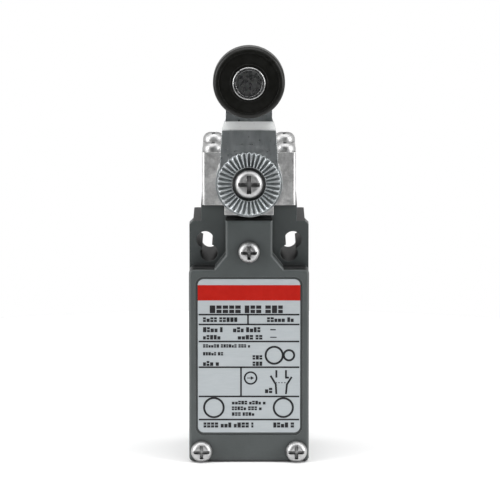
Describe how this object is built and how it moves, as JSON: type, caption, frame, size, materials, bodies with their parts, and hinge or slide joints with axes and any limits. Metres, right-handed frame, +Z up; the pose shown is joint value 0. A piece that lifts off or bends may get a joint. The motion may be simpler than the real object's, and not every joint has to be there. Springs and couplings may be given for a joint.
{
  "type": "limit switch",
  "caption": "Compact metal-bodied limit switch with a spring-return roller lever, a plunger, snap-action style contact bridges and a threaded cable entry.",
  "frame": {"origin": "centre of the cable entry's mouth in the flat underside", "axes": "+Z up along the body towards the roller, +Y out of the flat mounting back, -Y out of the cover, +X to the right seen from the front"},
  "size_m": [0.03, 0.0419, 0.1058],
  "materials": {
    "grey_paint": "satin stove enamel on die-cast zinc",
    "bare_zinc": "bare die-cast zinc, matt and slightly mottled",
    "bare_zinc_cap": "bare die-cast zinc",
    "lever_zinc": "dark chromated zinc, satin",
    "plated_steel": "bright zinc plating",
    "pin_steel": "turned steel rivet",
    "spring_steel": "drawn spring wire",
    "bronze": "sintered bronze",
    "brass_strip": "stamped brass",
    "black_rubber": "matt nitrile rubber",
    "black_nylon": "moulded black nylon",
    "moulded_cam": "natural acetal",
    "block_plastic": "black phenolic moulding",
    "lid_plastic": "translucent white moulding",
    "label_foil": "silvered polyester label"
  },
  "bodies": {
    "housing": {"body_housing": "grey_paint", "cover": "grey_paint", "cover_gasket": "black_rubber", "rating_label": "label_foil", "cover_screws": "plated_steel", "head_housing": "bare_zinc", "rear_cap": "bare_zinc_cap", "head_gasket": "black_rubber", "head_screws": "plated_steel", "shaft_bush": "bronze", "shaft_seal": "black_rubber", "guide_bush": "bronze", "plunger_spring": "spring_steel", "contact_block": "block_plastic", "contact_block_lid": "lid_plastic", "nc_terminal_left": "brass_strip", "nc_terminal_right": "brass_strip", "no_terminal_left": "brass_strip", "no_terminal_right": "brass_strip", "contact_spring": "spring_steel", "terminal_clamps": "plated_steel", "terminal_screws": "plated_steel", "block_screws": "plated_steel", "earth_clamp": "brass_strip", "earth_screw": "plated_steel", "lever_spring": "spring_steel"},
    "lever": {"lever_shaft": "plated_steel", "cam": "moulded_cam", "shaft_circlip": "spring_steel", "lever_arm": "lever_zinc", "lever_washer": "plated_steel", "lever_screw": "plated_steel", "roller_spacer": "pin_steel", "roller_pin": "pin_steel"},
    "roller_wheel": {"roller": "black_nylon"},
    "plunger_rod": {"plunger": "plated_steel"},
    "contact_set": {"contact_carrier": "moulded_cam", "nc_bridge": "brass_strip", "no_bridge": "brass_strip"}
  },
  "joints": [
    {"name": "lever_swing", "type": "hinge", "parent": "housing", "child": "lever", "pos_m": [0, 0, 0.07145], "axis": [0, 1, 0], "range_deg": [-75, 75], "stiffness_Nm_per_rad": 0.06, "deforming": ["lever_spring"]},
    {"name": "roller_spin", "type": "hinge", "parent": "lever", "child": "roller_wheel", "pos_m": [0, 0, 0.097], "axis": [0, 1, 0], "continuous": true},
    {"name": "plunger_slide", "type": "slide", "parent": "housing", "child": "plunger_rod", "axis": [0, 0, -1], "range_m": [0, 0.002], "stiffness_N_per_m": 800, "deforming": ["plunger_spring"]},
    {"name": "contact_stroke", "type": "slide", "parent": "housing", "child": "contact_set", "axis": [0, 0, -1], "range_m": [0, 0.002], "stiffness_N_per_m": 300, "deforming": ["contact_spring"]}
  ],
  "couplings": [
    {"joint": "contact_stroke", "follows": "plunger_slide", "ratio": 1}
  ]
}
